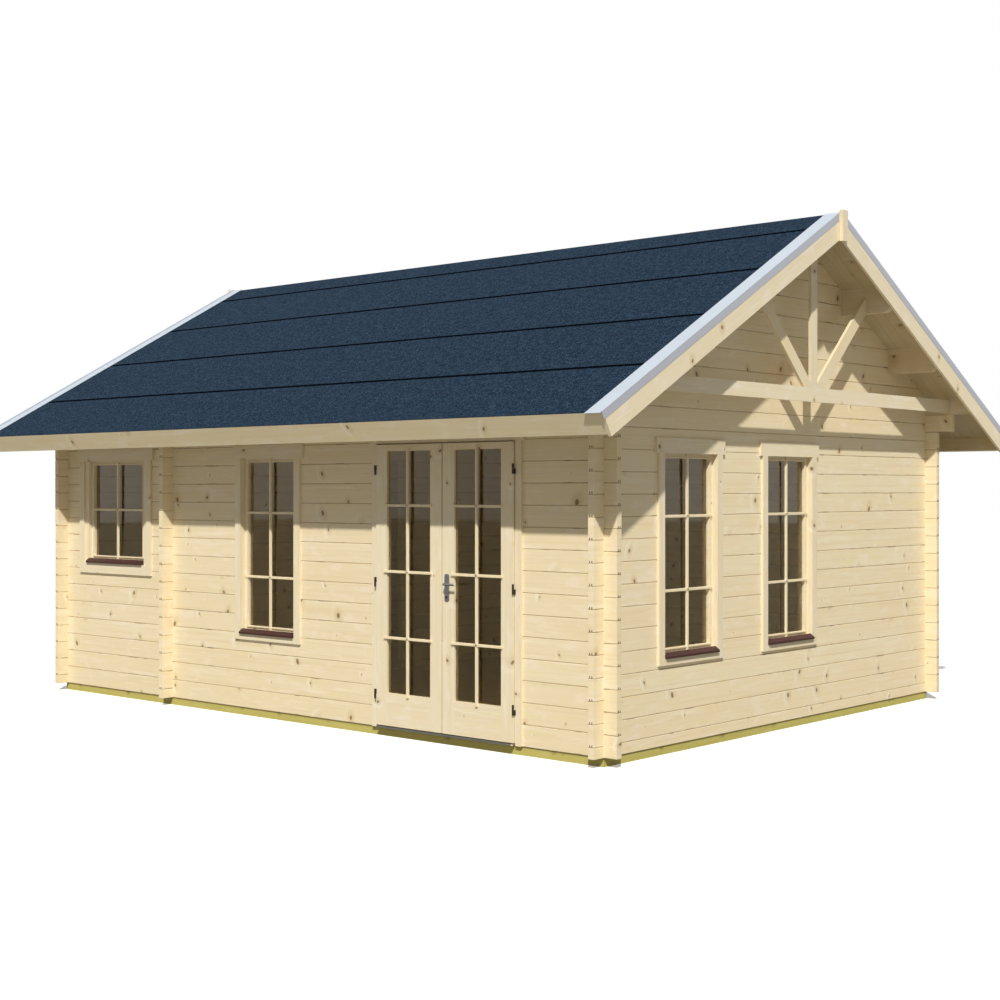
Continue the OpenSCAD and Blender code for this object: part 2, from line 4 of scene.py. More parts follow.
import bmesh
import bpy
import numpy as np
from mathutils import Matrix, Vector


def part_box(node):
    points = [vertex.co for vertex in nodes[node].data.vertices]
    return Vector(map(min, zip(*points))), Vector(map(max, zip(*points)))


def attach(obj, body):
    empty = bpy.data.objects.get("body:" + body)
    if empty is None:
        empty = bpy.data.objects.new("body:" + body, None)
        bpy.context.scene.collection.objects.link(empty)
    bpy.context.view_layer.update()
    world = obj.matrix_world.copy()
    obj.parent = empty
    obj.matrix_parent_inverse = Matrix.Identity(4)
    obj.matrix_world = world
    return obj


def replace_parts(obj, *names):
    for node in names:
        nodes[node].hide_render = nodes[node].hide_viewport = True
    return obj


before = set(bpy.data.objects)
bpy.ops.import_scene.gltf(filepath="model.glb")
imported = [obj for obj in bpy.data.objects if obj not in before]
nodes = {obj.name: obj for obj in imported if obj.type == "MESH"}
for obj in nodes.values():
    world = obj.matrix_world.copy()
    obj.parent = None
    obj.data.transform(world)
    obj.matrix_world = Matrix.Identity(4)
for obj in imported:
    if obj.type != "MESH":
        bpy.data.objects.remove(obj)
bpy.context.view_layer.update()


# The studio: a pale floor and a white surround, one broad sun from the front right and an even sky.
# The camera stands where the photograph was taken, level, a little above eye height.
eye = bpy.data.objects.new("eye", bpy.data.cameras.new("eye"))
eye.location = (8.8305, -9.8401, 1.6998)
eye.rotation_euler = (math.radians(90.0), 0.0, math.radians(41.43))
eye.data.sensor_width = 36.0
eye.data.lens = 57.18
eye.data.shift_y = -0.010683
eye.data.clip_end = 200.0
bpy.context.scene.collection.objects.link(eye)
bpy.context.scene.camera = eye
bpy.context.scene.view_settings.view_transform = "Standard"

sun = bpy.data.objects.new("sun", bpy.data.lights.new("sun", "SUN"))
sun.data.energy = 3.7
sun.data.angle = math.radians(1.2)
sun.data.color = (1.0, 0.985, 0.955)
sun.rotation_euler = (math.radians(45.6), 0.0, math.radians(38.3))
bpy.context.scene.collection.objects.link(sun)


def seen_directly(tree, rays):
    """1 for the kinds of ray given, such as the camera's, and 0 for the rest, which light the object."""
    path = tree.nodes.new("ShaderNodeLightPath")
    total = None
    for ray in rays:
        step = tree.nodes.new("ShaderNodeMath")
        step.operation = "MAXIMUM"
        if total is None:
            step.inputs[0].default_value = 0.0
        else:
            tree.links.new(total, step.inputs[0])
        tree.links.new(path.outputs[ray], step.inputs[1])
        total = step.outputs[0]
    return total


view_rays = ("Is Camera Ray", "Is Transmission Ray")
sky = bpy.data.worlds.new("sky")
sky.use_nodes = True
bpy.context.scene.world = sky
sky_strength = sky.node_tree.nodes.new("ShaderNodeMapRange")
sky_strength.inputs["To Min"].default_value = 0.242
sky_strength.inputs["To Max"].default_value = 1.0
sky.node_tree.links.new(seen_directly(sky.node_tree, view_rays + ("Is Glossy Ray",)), sky_strength.inputs[0])
sky_light = sky.node_tree.nodes["Background"]
sky_light.inputs["Color"].default_value = (1.0, 1.0, 1.0, 1.0)
sky.node_tree.links.new(sky_strength.outputs[0], sky_light.inputs["Strength"])

floor_half = 60.0
floor_corners = [(x * floor_half, y * floor_half, 0.0) for x, y in ((-1, -1), (1, -1), (1, 1), (-1, 1))]
floor_mesh = bpy.data.meshes.new("studio_floor")
floor_mesh.from_pydata(floor_corners, [], [(0, 1, 2, 3)])
studio_floor = bpy.data.objects.new("studio_floor", floor_mesh)
bpy.context.scene.collection.objects.link(studio_floor)
floor_paint = bpy.data.materials.new("floor_paint")
floor_paint.use_nodes = True
floor_tree = floor_paint.node_tree
floor_shader = floor_tree.nodes["Principled BSDF"]
floor_seen = seen_directly(floor_tree, view_rays)
floor_tone = floor_tree.nodes.new("ShaderNodeMix")
floor_tone.data_type = "RGBA"
floor_tree.links.new(floor_seen, floor_tone.inputs[0])
# Glossy rays see the floor dark olive: a painted reflection that darkens the lower panes. Other bounce rays
# see it pale grey.
floor_painted_reflection = floor_tree.nodes.new("ShaderNodeMix")
floor_painted_reflection.data_type = "RGBA"
floor_tree.links.new(seen_directly(floor_tree, ("Is Glossy Ray",)), floor_painted_reflection.inputs[0])
floor_painted_reflection.inputs[6].default_value = (0.31, 0.305, 0.285, 1)
floor_painted_reflection.inputs[7].default_value = (0.080, 0.068, 0.040, 1)
floor_tree.links.new(floor_painted_reflection.outputs[2], floor_tone.inputs[6])
floor_tone.inputs[7].default_value = (0.96, 0.96, 0.96, 1)
floor_tree.links.new(floor_tone.outputs[2], floor_shader.inputs["Base Color"])
floor_glow = floor_tree.nodes.new("ShaderNodeMapRange")
floor_glow.inputs["To Max"].default_value = 0.24
floor_tree.links.new(floor_seen, floor_glow.inputs[0])
floor_shader.inputs["Emission Color"].default_value = (1, 1, 1, 1)
floor_tree.links.new(floor_glow.outputs[0], floor_shader.inputs["Emission Strength"])
floor_shader.inputs["Roughness"].default_value = 0.9
floor_mesh.materials.append(floor_paint)


# Long wall logs: planed spruce, laid flat with a V joint every 140 mm, with knots and a pale straight grain.
# They run along X, so the grain does too; each log has its own tone.
def spruce(name, along, across, board, first, dark_width, knots, pale=(0.865, 0.750, 0.515),
           dark=(0.715, 0.550, 0.300), fold=False):
    """Spruce on Object coordinates. u is the place's dot product with along, v with across (places are
    made positive first where fold is true). Rows are v split every board from first. Grain is noise drawn
    out along u, knots are leaning spots at random points of each row, some with a pale flare beside them,
    and row joints darken unevenly within dark_width. Where a row edge is a beam's top, as on the foundation
    beams, that darkening is painted shade."""
    wood = bpy.data.materials.new(name)
    wood.use_nodes = True
    tree = wood.node_tree
    make, link = tree.nodes.new, tree.links.new

    def feed(step, values):
        """The step's first sockets, each set to its value or linked to it."""
        for socket, value in zip(step.inputs, values):
            if isinstance(value, (int, float, tuple)):
                socket.default_value = value
            else:
                link(value, socket)

    def calc(kind, one, two=0.0, three=0.0):
        step = make("ShaderNodeMath")
        step.operation = kind
        feed(step, (one, two, three))
        return step.outputs[0]

    def vec(kind, one, two=(0.0, 0.0, 0.0)):
        step = make("ShaderNodeVectorMath")
        step.operation = kind
        feed(step, (one, two))
        return step.outputs["Value"] if kind in ("DOT_PRODUCT", "LENGTH") else step.outputs["Vector"]

    def point(x, y, z=0.0):
        step = make("ShaderNodeCombineXYZ")
        feed(step, (x, y, z))
        return step.outputs[0]

    def fade(value, low, high):
        step = make("ShaderNodeMapRange")
        step.interpolation_type = "SMOOTHSTEP"
        feed(step, (value, low, high))
        return step.outputs[0]

    def within(distance, low, high):
        """1 up to the distance low, falling smoothly to 0 at high."""
        return calc("SUBTRACT", 1.0, fade(distance, low, high))

    def tint(amount, base, colour):
        step = make("ShaderNodeMix")
        step.data_type = "RGBA"
        for socket, value in ((step.inputs[0], amount), (step.inputs[6], base), (step.inputs[7], colour)):
            if isinstance(value, tuple):
                socket.default_value = (*value, 1.0)
            else:
                link(value, socket)
        return step.outputs[2]

    def shade(colour, by, top=0.95):
        """The colour times by, held at top."""
        return tuple(min(top, part * factor) for part, factor in zip(colour, by))

    def cloud(run, rise, per_run, per_rise, start=0.0, per_luck=0.0, detail=2.0):
        """Noise at (per_run * run + start, per_rise * rise, per_luck * luck)."""
        step = make("ShaderNodeTexNoise")
        step.inputs["Scale"].default_value = 1.0
        step.inputs["Detail"].default_value = detail
        step.inputs["Roughness"].default_value = 0.6
        where = point(calc("MULTIPLY_ADD", run, per_run, start), calc("MULTIPLY", rise, per_rise),
                      calc("MULTIPLY", luck, per_luck))
        link(where, step.inputs["Vector"])
        return step.outputs[0]

    place = make("ShaderNodeTexCoord").outputs["Object"]
    if fold:
        place = vec("ABSOLUTE", place)
    u, v = vec("DOT_PRODUCT", place, along), vec("DOT_PRODUCT", place, across)
    row_place = calc("DIVIDE", calc("SUBTRACT", v, first), board)
    row = calc("FLOOR", row_place)
    luck_node = make("ShaderNodeTexWhiteNoise")
    luck_node.noise_dimensions = "1D"
    link(calc("ADD", row, 0.5), luck_node.inputs["W"])
    luck = luck_node.outputs["Value"]
    shifted = calc("MULTIPLY_ADD", luck, 41.0, u)

    spots_per_m, knot_r, flare_off = 2.5, 0.025, 0.020
    spot_at = point(calc("MULTIPLY", shifted, spots_per_m), row_place)
    spot = make("ShaderNodeTexVoronoi")
    spot.voronoi_dimensions = "2D"
    spot.inputs["Scale"].default_value = 1.0
    spot.inputs["Randomness"].default_value = 0.9
    link(spot_at, spot.inputs["Vector"])
    from_spot = vec("MULTIPLY", vec("SUBTRACT", spot_at, spot.outputs["Position"]),
                    (1.0 / spots_per_m, board * 0.95, 0.0))
    spot_luck = make("ShaderNodeSeparateColor")
    link(spot.outputs["Color"], spot_luck.inputs[0])
    off_v = vec("DOT_PRODUCT", from_spot, (0.0, 1.0, 0.0))
    lean = calc("MULTIPLY_ADD", spot_luck.outputs[2], 0.8, -0.40)
    off_u = calc("MULTIPLY_ADD", off_v, lean, vec("DOT_PRODUCT", from_spot, (1.0, 0.0, 0.0)))
    size = calc("MULTIPLY", fade(spot_luck.outputs[0], 1.0 - knots, 1.15), knot_r)
    wobble = calc("MULTIPLY_ADD", cloud(shifted, v, 30.0, 30.0), 0.012, -0.006)
    away = vec("LENGTH", point(calc("MULTIPLY", off_u, 1.1), calc("MULTIPLY", off_v, 0.86)))
    away = calc("ADD", away, wobble)
    halo = within(away, calc("MULTIPLY", size, 0.9), calc("MULTIPLY_ADD", size, 3.6, 0.002))
    core = within(away, calc("MULTIPLY", size, 0.45), calc("MULTIPLY_ADD", size, 1.0, 0.0005))
    beside = vec("LENGTH", point(calc("ADD", off_u, flare_off), calc("MULTIPLY", off_v, 0.55)))
    beside = calc("MULTIPLY_ADD", wobble, 2.2, beside)
    flare = within(beside, calc("MULTIPLY", size, 1.0), calc("MULTIPLY_ADD", size, 3.2, 0.001))
    flare = calc("MULTIPLY", flare, fade(spot_luck.outputs[1], 0.15, 0.60))

    bend = calc("MULTIPLY_ADD", halo, 0.018, v)
    bands = cloud(shifted, bend, 0.7, 46.0, per_luck=9.0, detail=3.0)
    fibre = cloud(shifted, bend, 5.0, 420.0)
    patch = cloud(shifted, v, 3.2, 10.0, per_luck=5.0)
    bright = cloud(shifted, bend, 2.4, 26.0, start=3.0, per_luck=7.0, detail=4.0)
    broad = cloud(shifted, v, 5.0, 11.0, start=5.0, per_luck=4.0)
    straw = cloud(shifted, bend, 2.2, 21.0, start=9.0, per_luck=3.0, detail=3.0)
    knot_brown, joint_and_edge_shade_brown = (0.200, 0.108, 0.026), (0.20, 0.130, 0.060)
    tone = pale
    for amount, strength, colour in (
            (fade(bands, 0.44, 0.80), 0.50, dark),
            (fade(fibre, 0.45, 0.75), 0.22, dark),
            (fade(patch, 0.35, 0.75), 0.25, shade(pale, (0.96, 0.86, 0.72))),
            (luck, 0.42, shade(pale, (0.95, 0.90, 0.82))),
            (fade(straw, 0.56, 0.72), 0.55, shade(pale, (0.97, 0.95, 0.76))),
            (fade(bright, 0.52, 0.72), 0.60, shade(pale, (1.05, 1.08, 1.18))),
            (fade(broad, 0.55, 0.70), 0.45, shade(pale, (1.06, 1.06, 1.20))),
            (flare, 0.66, shade(pale, (1.08, 1.14, 1.28), top=0.96)),
            (halo, 0.40, shade(dark, (0.84, 0.76, 0.58))),
            (core, 0.84, knot_brown)):
        tone = tint(calc("MULTIPLY", amount, strength), tone, colour)

    inside = calc("FRACT", row_place)
    edge = calc("MULTIPLY", calc("MINIMUM", inside, calc("SUBTRACT", 1.0, inside)), board)
    # Joints darken with uneven strength and width; at the top of the foundation beams this darkening is
    # painted shade.
    patchy = fade(cloud(u, row, 4.2, 3.7), 0.56, 0.68)
    joint_and_edge_shade = within(edge, dark_width * 0.30, calc("MULTIPLY_ADD", patchy, dark_width * 0.8, dark_width + 0.00001))
    tone = tint(calc("MULTIPLY", joint_and_edge_shade, calc("MULTIPLY_ADD", patchy, 0.42, 0.36)), tone, joint_and_edge_shade_brown)
    shader = tree.nodes["Principled BSDF"]
    link(tone, shader.inputs["Base Color"])
    shader.inputs["Roughness"].default_value = 0.62
    shader.inputs["Specular IOR Level"].default_value = 0.3
    relief = make("ShaderNodeBump")
    relief.inputs["Strength"].default_value = 0.35
    relief.inputs["Distance"].default_value = 0.0012
    link(calc("SUBTRACT", calc("MULTIPLY", fibre, 0.5), joint_and_edge_shade), relief.inputs["Height"])
    link(relief.outputs[0], shader.inputs["Normal"])
    return wood


def dress(names, finish):
    """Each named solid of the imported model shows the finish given."""
    for name in names:
        nodes[name].data.materials.clear()
        nodes[name].data.materials.append(finish)


course, log_base = 0.140, 0.060
dress(["front_wall_beside_openings", "front_wall_below_windows", "front_wall_over_openings", "back_wall",
       "top_wall_logs"],
      spruce("long_log_spruce", (1, 0.3, 0), (0, 0, 1), course, log_base, 0.0042, 0.55))


# Gable and partition logs: the same spruce, half a course higher, crossing the long walls at the corners,
# coloured a little paler as painted light, so the gable, which takes less sun, looks as bright as the front.
# They run along Y; the joints show as dark lines on the sawn ends outside the corners.
dress(["left_gable_wall", "right_gable_beside_windows", "right_gable_below_windows",
       "right_gable_over_windows", "partition_beside_doorway", "partition_over_doorway", "cross_log_ends"],
      # Paler than the long logs: painted light.
      spruce("cross_log_spruce_painted_light", (0.3, 1, 0), (0, 0, 1), course, -0.010, 0.0042, 0.46,
             pale=(0.895, 0.780, 0.540), dark=(0.745, 0.575, 0.320)))


# Tongues of the logs: the milled double tongue of each course shows on the sawn ends as two dark arches
# just over the joint. They are thin dark strips on the end faces, painted shade of the gap between a tongue
# and its groove.
def piece(name, points, faces, finish, body):
    """A mesh piece from arrays of points and faces, with its finish and body."""
    mesh = bpy.data.meshes.new(name)
    mesh.from_pydata(np.asarray(points, float).tolist(), [], [list(map(int, face)) for face in faces])
    mesh.validate()
    made = bpy.data.objects.new(name, mesh)
    bpy.context.scene.collection.objects.link(made)
    mesh.materials.append(finish)
    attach(made, body)
    return made


def arch_lines(starts, across, outward):
    """Two arches over each start point, on an end face. An arch is a line of width line_w through the points
    (0, 0), (1.8, 12), (7.2, 12), (9, 0) mm of (across, up), from line_t inside the face to line_t outside it.
    Each of the four points has four corners: outer and inner edge, each sunk and proud."""
    line_w, line_t, lean = 0.0028, 0.0006, 0.0006
    bend = np.array([[0.0, 0.0], [0.0018, 0.012], [0.0072, 0.012], [0.0090, 0.0]])
    inset = np.array([[line_w, 0.0], [line_w + lean, -line_w], [-line_w - lean, -line_w], [-line_w, 0.0]])
    flat = np.stack([bend, bend + inset], axis=1)
    arches = np.concatenate([flat + np.array([shift, 0.0]) for shift in (0.0085, 0.0255)]).reshape(-1, 2)
    lifted = np.stack([-line_t * np.ones(len(arches)), line_t * np.ones(len(arches))], axis=1)
    along_face = arches[:, :1] * np.asarray(across, float) + arches[:, 1:] * np.array([0.0, 0.0, 1.0])
    shape = (along_face[:, None, :] + lifted[:, :, None] * np.asarray(outward, float)).reshape(-1, 3)
    points = (np.asarray(starts, float)[:, None, :] + shape).reshape(-1, 3)
    quads = []
    for near, far in ((0, 4), (4, 8), (8, 12)):
        quads += [[near, near + 1, far + 1, far], [near + 2, far + 2, far + 3, near + 3],
                  [near + 1, near + 3, far + 3, far + 1], [near, far, far + 2, near + 2]]
    quads += [[0, 2, 3, 1], [12, 13, 15, 14]]
    quads = np.concatenate([np.array(quads), np.array(quads) + 16])
    firsts = np.arange(len(starts)) * len(shape)
    return points, (firsts[:, None, None] + quads).reshape(-1, 4)


def facing_out(made):
    """The piece's faces turned outwards."""
    work = bmesh.new()
    work.from_mesh(made.data)
    bmesh.ops.recalc_face_normals(work, faces=work.faces)
    work.to_mesh(made.data)
    work.free()
    return made


# Dark strips on the sawn ends: painted shade of the gaps between tongues and grooves.
gap_shadow = spruce("tongue_gap_painted_shade", (0, 0, 1), (1, 1, 0), 0.045, 0.0, 0.0, 0.0,
                    pale=(0.16, 0.105, 0.055), dark=(0.07, 0.045, 0.022))
log_t, half_l, half_d, log_out, partition_x = 0.045, 2.890, 2.150, 0.100, -1.423
first_cross_joint, first_long_joint, long_top, joint_lift = 0.130, 0.200, 2.150, 0.0035
cross_z = np.arange(first_cross_joint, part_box("cross_log_ends")[1][2] - 0.02, course) + joint_lift
long_z = np.arange(first_long_joint, long_top, course) + joint_lift
gap_shade_points, gap_shade_faces, gap_shade_count = [], [], 0
ends = []
for x0 in (-half_l, partition_x - log_t / 2, half_l - log_t):
    ends += [(cross_z, (x0, out * (half_d + log_out)), (1, 0, 0), (0, out, 0)) for out in (-1, 1)]
for y0 in (-half_d, half_d - log_t):
    ends += [(long_z, (out * (half_l + log_out), y0), (0, 1, 0), (out, 0, 0)) for out in (1, -1)]
for levels, corner, across, outward in ends:
    starts = np.column_stack([np.tile(corner, (len(levels), 1)), levels])
    points, faces = arch_lines(starts, across, outward)
    gap_shade_points.append(points)
    gap_shade_faces.append(faces + gap_shade_count)
    gap_shade_count += len(points)
facing_out(piece("log_end_tongue_gap_shade", np.concatenate(gap_shade_points), np.concatenate(gap_shade_faces), gap_shadow,
                 "house"))


# Foundation beams: squared softwood, pressure treated to a yellow green, laid on the ground under every wall.
# The grain runs along each beam; the top edge is darkened as painted shade under the overhanging logs.
dress(["foundation_long_beams", "foundation_cross_beams"],
      spruce("treated_beam", (1, 1, 0), (0, 0, 1), 0.200, -0.140, 0.024, 0.2,
             pale=(0.56, 0.50, 0.15), dark=(0.38, 0.33, 0.08)))


# Floor boards: planed tongued boards along X, nailed to the beams inside the walls.
# A narrow shadow shows at each joint.
dress(["floor_boards"], spruce("floor_spruce", (1, 0, 0), (0, 1, 0), 0.115, 0.0, 0.0022, 0.4))


# Purlins, fascias and the tie beam: planed spruce, each cut from one length.
# The first two run along X under the roof, the tie beam runs along Y in front of the right gable.
board_pale, board_dark = (0.890, 0.795, 0.590), (0.740, 0.595, 0.365)
# The purlins are coloured darker than the other spruce, as painted shade under the roof.
dress(["purlins"], spruce("purlin_spruce_painted_shade", (1, 0, 0), (0, 0.8, 0.6), 0.175, 0.02, 0.0, 0.5,
                          pale=(0.745, 0.645, 0.445), dark=(0.610, 0.470, 0.265)))
dress(["eave_fascias"], spruce("fascia_spruce", (1, 0, 0), (0, 0, 1), 0.220, 1.92, 0.0, 0.62))
dress(["truss_tie_beam"], spruce("tie_beam_spruce", (0, 1, 0), (0, 0, 1), 0.160, 2.29, 0.0, 0.35,
                                 pale=board_pale, dark=board_dark))


# Roof boards: tongued spruce boards from the ridge to the eave, nailed across the purlins.
# Their joints show as fine lines under the overhangs, and the boards are coloured darker than the other
# spruce as painted shade there; bargeboards and struts lie in sloping planes too.
pitch = math.radians(28.8)
down_slope = (0, math.cos(pitch), -math.sin(pitch))
off_slope = (0, math.sin(pitch), math.cos(pitch))
dress(["front_roof_boards", "back_roof_boards"],
      spruce("roof_board_spruce_painted_shade", down_slope, (1, 0, 0), 0.096, 0.0, 0.0022, 0.35, fold=True,
             pale=(0.640, 0.545, 0.360), dark=(0.510, 0.385, 0.205)))
dress(["front_bargeboards", "back_bargeboards"],
      spruce("bargeboard_spruce", down_slope, off_slope, 0.400, 3.0, 0.0, 0.50, fold=True,
             pale=board_pale, dark=board_dark))
dress(["truss_struts"],
      spruce("strut_spruce", (0, 0.72, 0.69), (0, -0.69, 0.72), 0.300, 1.6, 0.0, 0.3, fold=True))


# Upright boards: the king post, the cover over the bargeboards' joint, side casings, frame sides and
# door stiles. Planed spruce with the grain upright.
trim_pale, trim_dark = (0.855, 0.755, 0.545), (0.715, 0.560, 0.330)
upright = spruce("upright_spruce", (0, 0, 1), (1, 1, 0), 0.120, 0.013, 0.0, 0.35,
                 pale=trim_pale, dark=trim_dark)
dress(["truss_king_post", "apex_covers", "casing_side_boards", "window_frame_sides", "door_frame_sides",
       "left_door_stiles", "right_door_stiles"], upright)


# Level boards: head boards, the boards under the sills, frame rails, sashes, the door's head and threshold,
# and its rails. Planed spruce with the grain level.
level = spruce("level_spruce", (1, 1, 0), (0, 0, 1), 0.110, 0.021, 0.0, 0.35,
               pale=trim_pale, dark=trim_dark)
dress(["casing_cross_boards", "window_frame_rails", "window_sashes", "door_frame_crosspieces",
       "left_door_rails", "right_door_rails"], level)


# Window sills: sloped boards between the casings, painted a dark red brown.
# The paint is smooth, with a faint brush grain.
def coat(name, low, high, scale, detail=2.0, stretch=(1.0, 1.0, 1.0), **values):
    """A finish whose colour goes from low to high by noise on Object coordinates times stretch.
    values are further values of the shader; the nodes are named place, noise and ramp."""
    finish = bpy.data.materials.new(name)
    finish.use_nodes = True
    make, link = finish.node_tree.nodes.new, finish.node_tree.links.new
    place, turn = make("ShaderNodeTexCoord"), make("ShaderNodeMapping")
    noise, ramp = make("ShaderNodeTexNoise"), make("ShaderNodeValToRGB")
    place.name, noise.name, ramp.name = "place", "noise", "ramp"
    turn.inputs["Scale"].default_value = stretch
    noise.inputs["Scale"].default_value = scale
    noise.inputs["Detail"].default_value = detail
    for element, colour in zip(ramp.color_ramp.elements, (low, high)):
        element.color = (*colour, 1)
    shader = finish.node_tree.nodes["Principled BSDF"]
    link(place.outputs["Object"], turn.inputs["Vector"])
    link(turn.outputs[0], noise.inputs["Vector"])
    link(noise.outputs[0], ramp.inputs[0])
    link(ramp.outputs[0], shader.inputs["Base Color"])
    for socket, value in values.items():
        shader.inputs[socket.replace("_", " ")].default_value = value
    return finish


sill_paint = coat("sill_paint", (0.040, 0.013, 0.011), (0.075, 0.028, 0.023), 60.0, detail=4.0,
                  Roughness=0.55, Specular_IOR_Level=0.3)
dress(["window_sills"], sill_paint)


# Roofing felt: strips of blue-grey mineral felt laid level from the eave up, each lapped by the one above,
# with a cap strip over the ridge. The lower edge of each strip stands a little proud of the strip below; just
# below it a dark half-round bead runs along the lap, painted shade of the step.
def carried(profile, x0, x1):
    """A closed outline of (y, z) pairs, counter-clockwise seen from +X, carried along X from x0 to x1:
    point i of the outline is joined to point i + 1 at both ends, and each end is closed by the outline."""
    count = len(profile)
    points = np.concatenate([np.insert(profile, 0, x, axis=1) for x in (x0, x1)])
    i = np.arange(count)
    j = (i + 1) % count
    walls = np.stack([i, i + count, j + count, j], axis=1)[:, ::-1]
    return points, walls.tolist() + [i[::-1].tolist(), (i + count).tolist()]


granules = coat("felt_granules", (0.0048, 0.0120, 0.025), (0.019, 0.041, 0.071), 28.0, detail=6.0,
                Roughness=0.92, Specular_IOR_Level=0.05)
felt_nodes, felt_link = granules.node_tree.nodes, granules.node_tree.links.new
felt_nodes["noise"].inputs["Roughness"].default_value = 0.72
felt_nodes["ramp"].color_ramp.elements[0].position = 0.38
felt_nodes["ramp"].color_ramp.elements[1].position = 0.68
felt_grit = felt_nodes.new("ShaderNodeTexVoronoi")
felt_grit.inputs["Scale"].default_value = 260.0
felt_link(felt_nodes["place"].outputs["Object"], felt_grit.inputs["Vector"])
felt_split = felt_nodes.new("ShaderNodeSeparateColor")
felt_link(felt_grit.outputs["Color"], felt_split.inputs[0])
felt_speck = felt_nodes.new("ShaderNodeMapRange")
felt_speck.inputs["From Min"].default_value = 0.80
felt_speck.inputs["From Max"].default_value = 1.0
felt_link(felt_split.outputs[0], felt_speck.inputs[0])
felt_mix = felt_nodes.new("ShaderNodeMix")
felt_mix.data_type = "RGBA"
felt_link(felt_speck.outputs[0], felt_mix.inputs[0])
felt_link(felt_nodes["ramp"].outputs[0], felt_mix.inputs[6])
felt_mix.inputs[7].default_value = (0.072, 0.115, 0.170, 1)
felt_link(felt_mix.outputs[2], felt_nodes["Principled BSDF"].inputs["Base Color"])
felt_bump = felt_nodes.new("ShaderNodeBump")
felt_bump.inputs["Strength"].default_value = 0.5
felt_bump.inputs["Distance"].default_value = 0.002
felt_link(felt_split.outputs[0], felt_bump.inputs["Height"])
felt_link(felt_bump.outputs[0], felt_nodes["Principled BSDF"].inputs["Normal"])

# Dark beads along the laps: painted shade of each lap's step.
lap_painted_shade = coat("lap_painted_shade", (0.0010, 0.0016, 0.0028), (0.0035, 0.0052, 0.0080), 45.0, detail=4.0,
               Roughness=0.9, Specular_IOR_Level=0.0)

ridge_z, eave_s = 3.59720, 3.0669
felt_half_x, lap_shade_half_x = 3.310, 3.176
lap_s = np.array([0.251, 0.936, 1.672, 2.402, eave_s])
lap_top, lap_low, felt_under = 0.0230, 0.0202, 0.0190
seam_down, seam_half, seam_sunk, seam_high = 0.0125, 0.0145, 0.0003, 0.0024
lap_path = np.stack([np.repeat(lap_s, 2)[:-1], np.tile([lap_top, lap_low], 5)[:-1]], axis=1)


def on_roof(side, down, off):
    """(y, z) of points down the slope from the ridge and off it, on the front (side -1) or the back (side 1):
    y = side (down cos pitch + off sin pitch), z = ridge_z - down sin pitch + off cos pitch."""
    return np.stack([side * (down * math.cos(pitch) + off * math.sin(pitch)),
                     ridge_z - down * math.sin(pitch) + off * math.cos(pitch)], axis=1)


half_turn = np.linspace(0.0, math.pi, 7)
for side, felt_name in ((-1, "front_roof_felt"), (1, "back_roof_felt")):
    outline = np.concatenate([[[-lap_low * math.tan(pitch), lap_low]], lap_path,
                              [[eave_s, felt_under], [-felt_under * math.tan(pitch), felt_under]]])
    section = on_roof(side, outline[:, 0], outline[:, 1])
    felt_points, felt_faces = carried(section if side < 0 else section[::-1], -felt_half_x, felt_half_x)
    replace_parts(piece(felt_name + "_strips", felt_points, felt_faces, granules, "house"), felt_name)
    # Each lap gets a dark half-round bead just below its edge, painted shade of the step.
    for number, lap in enumerate(lap_s[:-1]):
        seam = on_roof(side, lap + seam_down - seam_half * np.cos(half_turn),
                       lap_low - seam_sunk + seam_high * np.sin(half_turn))
        seam_points, seam_faces = carried(seam, -lap_shade_half_x, lap_shade_half_x)
        seam_name = "%s_bead_%d" % (felt_name[:-5], number)
        facing_out(piece(seam_name, seam_points, seam_faces, lap_painted_shade, "house"))


# Verge trims: folded sheet with a pale grey coating, nailed over the felt's edge and the bargeboards.
# The coating is smooth and slightly glossy, with a faint change of tone; the upright flange is coloured
# greyer, as painted shade on the side faces.
coated_sheet = coat("coated_sheet", (0.46, 0.53, 0.61), (0.56, 0.63, 0.71), 5.0, detail=5.0,
                    Roughness=0.38, Metallic=0.25)
sheet_nodes, sheet_link = coated_sheet.node_tree.nodes, coated_sheet.node_tree.links.new
# Faces turned along X take a greyer colour: painted shade of the flange.
sheet_sides = sheet_nodes.new("ShaderNodeSeparateXYZ")
sheet_link(sheet_nodes["place"].outputs["Normal"], sheet_sides.inputs[0])
flange_shade_mask = sheet_nodes.new("ShaderNodeMath")
flange_shade_mask.operation = "ABSOLUTE"
sheet_link(sheet_sides.outputs[0], flange_shade_mask.inputs[0])
flange_painted_shade = sheet_nodes.new("ShaderNodeMix")
flange_painted_shade.data_type = "RGBA"
sheet_link(flange_shade_mask.outputs[0], flange_painted_shade.inputs[0])
sheet_link(sheet_nodes["ramp"].outputs[0], flange_painted_shade.inputs[6])
flange_painted_shade.inputs[7].default_value = (0.46, 0.48, 0.53, 1)
sheet_link(flange_painted_shade.outputs[2], sheet_nodes["Principled BSDF"].inputs["Base Color"])
dress(["front_verge_trims", "back_verge_trims"], coated_sheet)


# Glass of the windows and the door leaves: clear float panes bedded in the sashes.
# The rooms behind are dark, and the panes are tinted brown with a warm gloss as painted reflection, so they
# look brown grey, with the sky's gloss above eye height and the floor's painted olive reflection below.
float_glass = bpy.data.materials.new("float_glass")
float_glass.use_nodes = True
glass_shader = float_glass.node_tree.nodes["Principled BSDF"]
